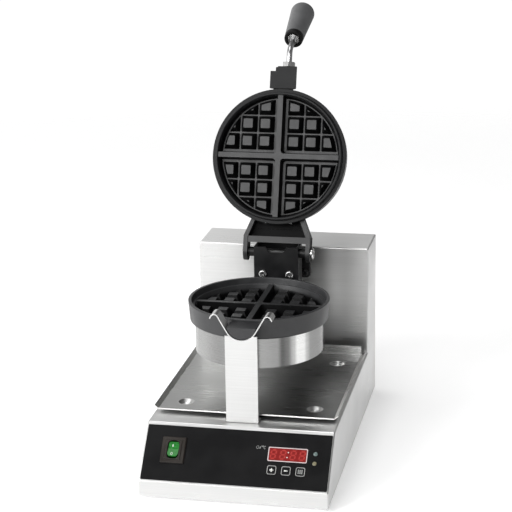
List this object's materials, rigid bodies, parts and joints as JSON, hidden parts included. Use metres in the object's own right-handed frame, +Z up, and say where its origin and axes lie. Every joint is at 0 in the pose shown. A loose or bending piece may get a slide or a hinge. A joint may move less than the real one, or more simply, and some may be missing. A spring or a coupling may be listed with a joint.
{
  "type": "waffle baker",
  "caption": "Counter-top rotating baker for thick round waffles: hinged studded plates on a head that swivels between a front cradle and a rear tower.",
  "frame": {"origin": "centre of the base's footprint, on the surface that the feet stand on", "axes": "+X to the operator's right, +Y to the back, +Z up; the control front faces -Y"},
  "size_m": [0.25, 0.5178, 0.5786],
  "materials": {
    "stainless": "brushed",
    "stainless_band": "satin turned",
    "coated_casting": "dark non-stick coating over casting",
    "black_paint": "satin black paint",
    "rubber": "matte",
    "panel_black": "semi-gloss black foil",
    "switch_black": "moulded",
    "green_rocker": "translucent green",
    "red_window": "red filter",
    "light_frame": "printed line",
    "module_black": "moulded",
    "lamp_lens": "unlit lens",
    "board_green": "circuit board",
    "brass_post": "turned",
    "core_steel": "plain steel",
    "terminal_plastic": "moulded",
    "gland_plastic": "moulded",
    "bright_screw": "bright zinc",
    "chrome": "polished",
    "fibre": "ceramic fibre",
    "grip_plastic": "satin black"
  },
  "bodies": {
    "base": {"housing_shell": "stainless", "feet": "rubber", "bottom_plate": "stainless", "rear_cover": "stainless", "cover_screws": "bright_screw", "front_panel": "panel_black", "switch_frame": "switch_black", "switch_gasket": "switch_black", "switch_body": "switch_black", "display_window": "red_window", "display_frame": "light_frame", "display_module": "module_black", "lamps": "lamp_lens", "control_board": "board_green", "board_spacers": "brass_post", "transformer": "core_steel", "heat_relays": "module_black", "terminal_block": "terminal_plastic", "safety_cutout": "module_black", "cable_gland": "gland_plastic", "bearing_flange": "black_paint", "bearing_bush": "brass_post", "flange_screws": "black_paint", "support_strip": "stainless", "saddle": "stainless", "strip_screws": "bright_screw"},
    "head": {"lower_plate": "coated_casting", "lower_band": "stainless_band", "lower_pan": "stainless_band", "lower_heater": "core_steel", "lower_insulation": "fibre", "lower_sensor": "core_steel", "lower_tie_screw": "bright_screw", "hinge_bracket": "black_paint", "bracket_screws": "bright_screw", "shaft_block": "black_paint", "lug_screws": "bright_screw", "swivel_shaft": "core_steel", "shaft_collar": "core_steel", "hinge_bolt": "chrome", "hinge_clip": "bright_screw", "hinge_spacers": "black_paint"},
    "lid": {"upper_plate": "coated_casting", "upper_band": "stainless_band", "upper_pan": "stainless_band", "upper_heater": "core_steel", "upper_insulation": "fibre", "upper_sensor": "core_steel", "upper_tie_screw": "bright_screw", "hinge_arm": "black_paint", "arm_screws": "bright_screw", "handle_rod": "chrome", "rod_nut": "bright_screw", "grip": "grip_plastic", "grip_nut": "bright_screw"},
    "rocker": {"rocker": "green_rocker"},
    "key_plus": {"key_plus": "panel_black"},
    "key_minus": {"key_minus": "panel_black"},
    "key_set": {"key_set": "panel_black"},
    "tray": {"drip_tray": "stainless"}
  },
  "joints": [
    {"name": "head_turn", "type": "hinge", "parent": "base", "child": "head", "pos_m": [0, 0.119, 0.222], "axis": [0, 1, 0], "range_deg": [-30, 30]},
    {"name": "lid_hinge", "type": "hinge", "parent": "head", "child": "lid", "pos_m": [0, 0.101, 0.247], "axis": [1, 0, 0], "range_deg": [0, 108]},
    {"name": "tray_slide", "type": "slide", "parent": "base", "child": "tray", "axis": [1, 0, 0], "range_m": [-0.12, 0.12]},
    {"name": "rocker_tilt", "type": "hinge", "parent": "base", "child": "rocker", "pos_m": [-0.084, -0.18723, 0.05442], "axis": [1, 0, 0], "range_deg": [0, 14]},
    {"name": "key_plus_press", "type": "slide", "parent": "base", "child": "key_plus", "axis": [0, 0.7307, -0.6827], "range_m": [0, 0.0004], "stiffness_N_per_m": 500, "springref_m": -0.001},
    {"name": "key_minus_press", "type": "slide", "parent": "base", "child": "key_minus", "axis": [0, 0.7307, -0.6827], "range_m": [0, 0.0004], "stiffness_N_per_m": 500, "springref_m": -0.001},
    {"name": "key_set_press", "type": "slide", "parent": "base", "child": "key_set", "axis": [0, 0.7307, -0.6827], "range_m": [0, 0.0004], "stiffness_N_per_m": 500, "springref_m": -0.001}
  ]
}
